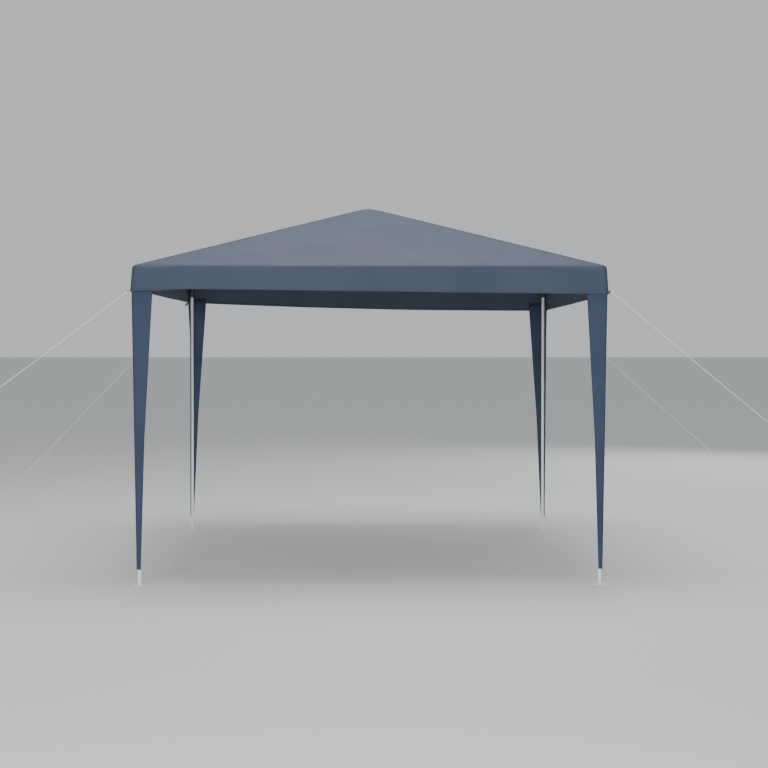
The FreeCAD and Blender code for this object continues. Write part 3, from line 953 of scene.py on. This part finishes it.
    def hang(self, point: Vector, row: int, across: float, quarter: int) -> None:
        """Lets the roof sag between the hips and the valance hang in soft ripples.

        Args:
            point: The point to move, on the front side.
            row: The point's row.
            across: Its place along the side, from -1 to 1.
            quarter: Which side it is, so that no two hang alike.
        """
        free = max(0.0, 1 - across * across)
        if row <= self.roof_steps:
            share = self.even_rows[row][0] / self.half
            point.z -= self.sag * free * math.sin(math.pi * min(1.0, share) ** 1.4)
            return
        drop = smooth_step(self.eave - point.z, 0, self.eave - self.hem_height)
        wave = noise.noise(Vector((across * 3.1, quarter * 7.3, 0.4)))
        wave += 0.5 * noise.noise(Vector((across * 8.0, quarter * 5.1, 2.0 + drop)))
        point.y -= self.ripple * wave * drop * free
        point.z += self.ripple * 0.5 * wave * drop * free

    def weave(self, column: int, row: int) -> tuple[float, float]:
        """Gives a point's place on the flat cloth: along its side, and down from the peak."""
        away, _, down = self.even_rows[row]
        share = column / len(self.columns)
        return share * 2 * away, down

    def hip(self, column: int, row: int) -> tuple[float, float]:
        """Gives a point's distance along and away from the nearest hip seam."""
        away, _, down = self.even_rows[row]
        kind, amount = self.columns[column % len(self.columns)]
        if kind != "side":
            return down, 0.0
        straight = max(away - self.hip_radius, 0.0)
        return down, straight - abs(self.seam_place(amount, straight))

    def hem(self, column: int, row: int) -> tuple[float, float]:
        """Gives a point's distance along and away from the lower hem."""
        away, _, down = self.even_rows[row]
        return column / len(self.columns) * 2 * self.hem_half, self.even_rows[-1][2] - down

    def build(self) -> None:
        around = 4 * len(self.columns)
        sheet = formed_grid("canopy", around, len(self.even_rows) - 1, self.place,
                            {"Weave": self.weave, "Hip": self.hip, "Hem": self.hem})
        give_thickness(sheet, lambda point: point.z < self.hem_height + self.hem_band
                       + self.lift(point.x, point.y), self.thick, self.thin)
        panels = [part + quarter.side for part in ("roof_panel_", "valance_") for quarter in Quarter]
        dress(sheet, ROOF_CLOTH, replaces=panels)


@dataclass
class LegCovers:
    """A tapered angle of cloth outside each leg, hemmed on both slanted edges."""

    tucked: float = 9 * MM
    rise: float = 33 * MM
    lean: float = 24 * MM
    twist: float = 8.0
    twist_over: tuple[float, float] = (0.03, 0.35)
    rise_below: float = 0.3
    fold_radius: float = 14 * MM
    hem_band: float = 8 * MM
    foot_band: float = 10 * MM
    step_wide: float = 1.2 * MM
    arc_steps: int = 4
    wing_steps: int = 6
    rows_up: int = 44
    bend_height: float = 0.94
    bend_width: float = 0.064
    foot_width: float = 0.026
    ripple: float = 3 * MM
    thick: float = 1.4 * MM
    thin: float = 0.8 * MM

    def __post_init__(self) -> None:
        """Takes the covers' place and sizes from the frame."""
        low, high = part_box("leg_cover_front_left")
        self.top_face = low.x
        self.bottom, self.top = low.z, high.z + self.tucked
        self.full_width = high.x - low.x
        self.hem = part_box("valance_front")[0].z
        self.heights = self.levels()
        leg_low, leg_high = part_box("leg_upper_front_left")
        self.leg = Vector(((leg_low.x + leg_high.x) / 2, (leg_low.y + leg_high.y) / 2, 0))

    def levels(self) -> list[float]:
        """Works out the rows' heights, with two close rows at the lower hem's edge."""
        band = self.bottom + self.foot_band
        even = [band + self.step_wide + (self.top - band - self.step_wide) * step / self.rows_up
                for step in range(self.rows_up + 1)]
        return [self.bottom, self.bottom + self.foot_band / 2, band] + even

    def width(self, height: float) -> float:
        """Gives the width of one wing at a height."""
        if height >= self.hem:
            return self.full_width
        if height >= self.bend_height:
            share = (height - self.bend_height) / (self.hem - self.bend_height)
            return self.bend_width + (self.full_width - self.bend_width) * share
        share = (height - self.bottom) / (self.bend_height - self.bottom)
        return self.foot_width + (self.bend_width - self.foot_width) * share

    def spread(self, column: int, height: float) -> float:
        """Gives a column's distance from the middle of the fold, negative on the front wing."""
        arc = self.fold_radius * math.pi / 4
        wide = self.width(height)
        steps = [arc * step / self.arc_steps for step in range(self.arc_steps + 1)]
        inner = wide - self.hem_band - self.step_wide
        steps += [arc + (inner - arc) * step / self.wing_steps for step in range(1, self.wing_steps + 1)]
        steps += [wide - self.hem_band, wide]
        middle = len(steps) - 1
        return math.copysign(steps[abs(column - middle)], column - middle) if column != middle else 0.0

    @property
    def columns(self) -> int:
        """Faces across the cover."""
        return 2 * (self.arc_steps + self.wing_steps + 2)

    def face(self, height: float, quarter: Quarter) -> float:
        """Gives the place of a cover's outer faces. The rear covers hang upright, the others lean out."""
        if quarter in (Quarter.REAR, Quarter.LEFT):
            return self.top_face + self.lean
        return self.top_face + self.lean * (self.top - height) / self.top

    def turned(self, point: Vector, quarter: Quarter) -> Vector:
        """Brings a point of the front left cover to another corner.

        The rear left cover is twisted a little about its leg, and its top reaches higher, up to the
        hem there.

        Args:
            point: The point, at the front left.
            quarter: The quarter turn to make.

        Returns:
            The point's place.
        """
        if quarter is Quarter.LEFT:
            angle = math.radians(self.twist) * smooth_step(self.top - point.z, *self.twist_over)
            rise = self.rise * smooth_step(point.z, self.hem - self.rise_below, self.top)
            point = self.leg + Matrix.Rotation(angle, 3, "Z") @ (point - self.leg) + Vector((0, 0, rise))
        return quarter.turn @ point

    def place(self, column: int, row: int, quarter: Quarter) -> Vector:
        """Gives the place of a point of a cover.

        Args:
            column: Counted from the front wing's free edge.
            row: Counted from the lower hem.
            quarter: The quarter turn that brings the front left cover there.

        Returns:
            The point.
        """
        height = self.heights[row]
        along = self.spread(column, height)
        arc = self.fold_radius * math.pi / 4
        face = self.face(height, quarter)
        middle = face + self.fold_radius  # the middle of the fold's arc, the same along X and along Y
        reach = abs(along)
        if reach <= arc:
            angle = math.pi / 4 - reach / self.fold_radius
            out = Vector((math.sin(angle), math.cos(angle)))
            flat = Vector((middle, middle)) - out * self.fold_radius
        else:
            out = Vector((0.0, 1.0))
            flat = Vector((middle + reach - arc, face))
        loose = smooth_step(reach, arc, 0.06) * smooth_step(height, self.hem, self.hem - 0.25)
        loose *= smooth_step(height, self.bottom, self.bottom + 0.2)
        seed = 3.7 * list(Quarter).index(quarter)
        wave = noise.noise(Vector((seed + math.copysign(2.0, along), height * 2.6, 0.3)))
        flat -= out * self.ripple * (0.4 + wave) * loose
        if along > 0:
            flat = Vector((flat.y, flat.x))
        return self.turned(Vector((flat.x, flat.y, height)), quarter)

    def build(self) -> None:
        top = self.width(self.top)
        for quarter in Quarter:
            cover = formed_grid(
                "cover_" + quarter.corner, self.columns, len(self.heights) - 1,
                lambda column, row: self.place(column, row, quarter),
                {"Weave": lambda column, row: (self.spread(column, self.heights[row]), self.heights[row]),
                 "Hip": lambda column, row: (self.heights[row], 1.0),
                 "Hem": lambda column, row: (self.heights[row], self.width(self.heights[row]) - abs(
                     self.spread(column, self.heights[row])))})
            give_thickness(cover, lambda point: self.doubled(point, quarter), self.thick, self.thin)
            dress(cover, COVER_CLOTH, replaces=["leg_cover_" + quarter.corner])

    def doubled(self, point: Vector, quarter: Quarter) -> bool:
        """Says whether a point of a cover lies on one of its hems."""
        back = quarter.turn.inverted() @ point
        inner = max(back.x, back.y) - self.face(point.z, quarter)
        on_foot_hem = point.z < self.bottom + self.foot_band - 1 * MM
        return on_foot_hem or inner > self.width(point.z) - self.hem_band + 0.5 * MM


@dataclass
class Trim:
    """Webbing: the loops at the valance's lower corners, and the pale ties round the legs."""

    loop_width: float = 16 * MM
    loop_thick: float = 1.5 * MM
    loop_half: float = 6.5 * MM
    hem_corner: float = 1.513
    above_hem: float = 2 * MM
    tie_thick: float = 1.0 * MM
    tie_overlap: float = 1.2
    tail_rise: tuple[float, float] = (1.9, 1.1)
    cover_gap: float = 0.4 * MM
    steps: int = 40

    def corner_loops(self, routes: dict[str, tuple[tuple[float, float, float], ...]],
                     canopy: Canopy) -> None:
        """Sews a loop at each corner, pulled out flat by the eye of its rope.

        Args:
            routes: Each rope's points, from its corner outwards.
            canopy: The canopy, whose hem the loops are sewn to.
        """
        loops = []
        for route in routes.values():
            start, onward = Vector(route[0]), Vector(route[1])
            sewn = Vector((math.copysign(self.hem_corner, start.x), math.copysign(self.hem_corner, start.y),
                           canopy.hem_height + canopy.lift(start.x, start.y) + self.above_hem))
            eye = start - (onward - start).normalized() * EYE_REACH
            out = (eye - sewn).normalized()
            length = (eye - sewn).length + 2 * MM + self.loop_thick / 2
            across = Vector((-start.y, start.x, 0)).normalized()
            out = (out - across * out.dot(across)).normalized()
            up = across.cross(out).normalized()
            line = []
            for step in range(self.steps + 1):
                turn = 2 * math.pi * step / self.steps
                line.append(sewn + out * length * (1 - math.cos(turn)) / 2
                            + up * self.loop_half * math.sin(turn) * math.sin(turn / 2) ** 0.8)
            loops.append(strap_along("loop", line, across, self.loop_width, self.loop_thick))
        dress(joined("webbing_loops", loops), WEBBING, replaces=["corner_loops"])

    def leg_ties(self, tie_heights: Sequence[float], tie_width: float, cover: LegCovers) -> None:
        """Wraps each tie round its leg, with its tail on top of itself and its tab on the leg cover.

        Args:
            tie_heights: The ties' lower edges above the ground.
            tie_width: The ties' width.
            cover: The leg covers, which the tabs are sewn to.
        """
        low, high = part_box("leg_upper_front_left")
        middle, radius = (low + high) / 2, (high.x - low.x) / 2 + self.tie_thick * 0.6
        total = 2 * math.pi + self.tie_overlap
        ties = []
        for quarter in Quarter:
            for height in tie_heights:
                centre = Vector((middle.x, middle.y, height + tie_width / 2))
                fold = cover.face(centre.z, quarter) + cover.fold_radius
                side = fold - (centre.x - radius - self.tie_thick / 2)
                inside = cover.fold_radius - cover.thin - self.cover_gap
                tab = fold - math.sqrt(inside ** 2 - side ** 2)
                line = [Vector((centre.x - radius, tab, centre.z))]
                for step in range(self.steps + 1):
                    turn = total * step / self.steps
                    on_top = smooth_step(turn, *(total - before for before in self.tail_rise))
                    reach = radius + self.tie_thick * 1.05 * on_top
                    line.append(centre + Vector((-math.cos(turn), math.sin(turn), 0)) * reach)
                line = [cover.turned(point, quarter) for point in line]
                ties.append(strap_along("tie", line, Vector((0, 0, 1)), tie_width, self.tie_thick))
        dress(joined("leg_tie_bands", ties), TIE_WEBBING, replaces=["leg_ties"])


@dataclass
class SteelFrame:
    """The tubes, foot plates and moulded parts, which keep the frame's own shapes."""

    def build(self) -> None:
        """Gives every node that still shows its finish."""
        finishes = (("leg_lower", WHITE_TUBE), ("leg_upper", WHITE_TUBE), ("eave_tube", WHITE_TUBE),
                    ("rafter", WHITE_TUBE), ("foot_plate", WHITE_PLATE), ("corner_connector", CONNECTOR),
                    ("peak_connector", CONNECTOR), ("rope_runner", RUNNER))
        for name, node in sorted(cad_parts.items()):
            for start, finish in finishes:
                if name.startswith(start):
                    node.data.materials.clear()
                    node.data.materials.append(finish.material())
                    log.info("%s: frame node, %s", name, finish.name)


def main() -> None:
    """Builds the scene: the camera and the ropes first, then the cloth, the frame and the studio."""
    studio = Studio()
    studio.camera()
    ropes = GuyRopes()
    ropes.build()
    canopy = Canopy()
    canopy.build()
    covers = LegCovers()
    covers.build()
    trim = Trim()
    trim.corner_loops(ropes.routes, canopy)
    trim.leg_ties((0.25, 0.9, 1.6), 20 * MM, covers)
    SteelFrame().build()
    studio.floor()
    studio.light()


if __name__ == "__main__":
    main()
